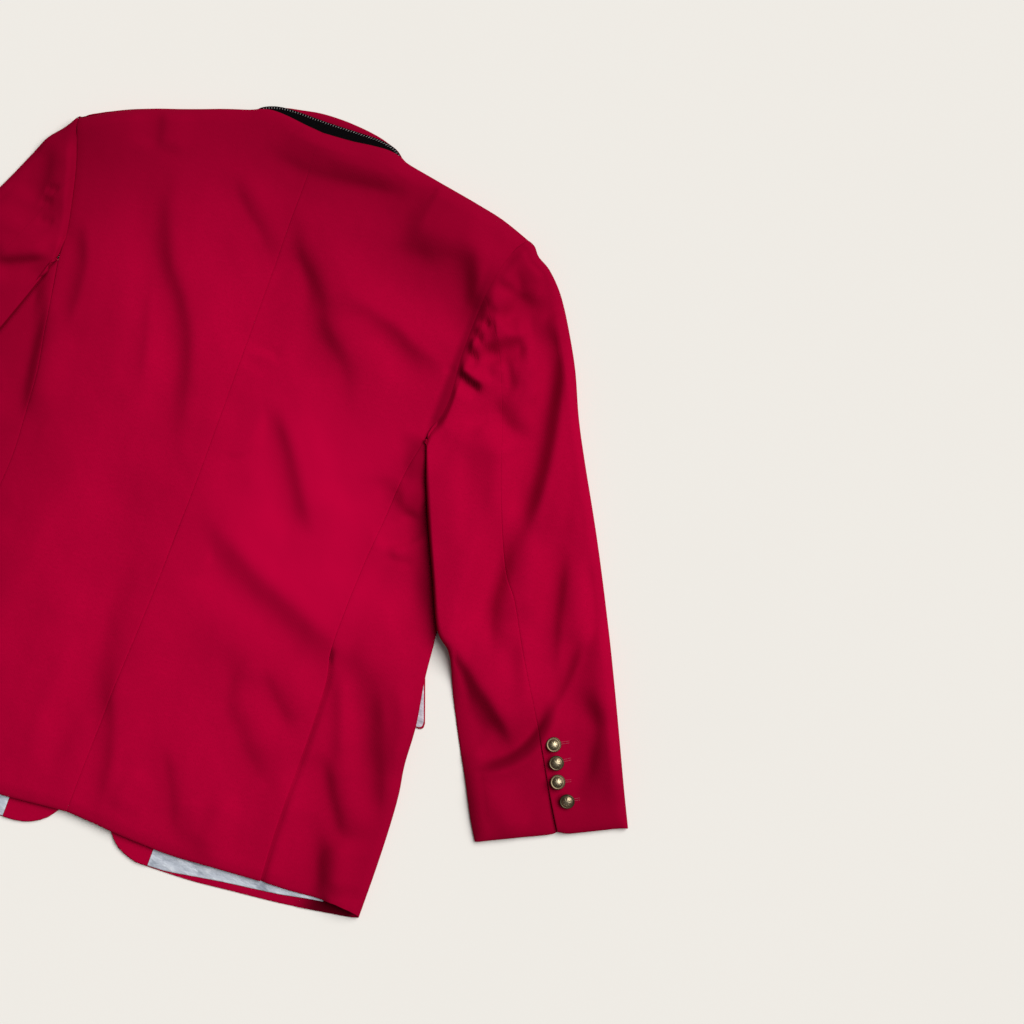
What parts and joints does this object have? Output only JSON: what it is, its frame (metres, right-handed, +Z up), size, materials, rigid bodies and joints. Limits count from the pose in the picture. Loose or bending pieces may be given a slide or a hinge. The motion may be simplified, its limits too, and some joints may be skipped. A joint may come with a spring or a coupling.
{
  "type": "wool blazer laid flat",
  "caption": "Man's single-breasted wool blazer laid flat on its front, back uppermost, with felt under-collar, two-piece sleeves, side vents and brass cuff buttons.",
  "frame": {"origin": "on the surface that the blazer lies on, under the centre-back line at the height of the waist", "axes": "+Z up from the surface, +Y up the back towards the collar, +X towards the wearer's right sleeve"},
  "size_m": [1.04, 0.7733, 0.0253],
  "materials": {
    "wool": "crimson wool flannel with a soft nap",
    "felt": "black under-collar felt",
    "body_lining": "silver-blue satin lining",
    "flap_lining": "lilac-grey satin lining",
    "brass": "antiqued cast brass, polished on its high places"
  },
  "bodies": {
    "root": {"back_right": "wool", "back_left": "wool", "side_right": "wool", "side_left": "wool", "front_right": "wool", "front_left": "wool", "facing_right": "wool", "facing_left": "wool", "lining_right": "body_lining", "lining_left": "body_lining", "lapel_right": "wool", "lapel_left": "wool", "topsleeve_right": "wool", "topsleeve_left": "wool", "undersleeve_right": "wool", "undersleeve_left": "wool", "flap_right": "wool", "flap_left": "wool", "flap_lining_right": "flap_lining", "flap_lining_left": "flap_lining", "cuff_button_right_1": "brass", "cuff_button_right_2": "brass", "cuff_button_right_3": "brass", "cuff_button_right_4": "brass", "cuff_button_left_1": "brass", "cuff_button_left_2": "brass", "cuff_button_left_3": "brass", "cuff_button_left_4": "brass", "top_collar": "wool", "under_collar": "felt", "front_button_1": "brass", "front_button_2": "brass"}
  },
  "joints": []
}
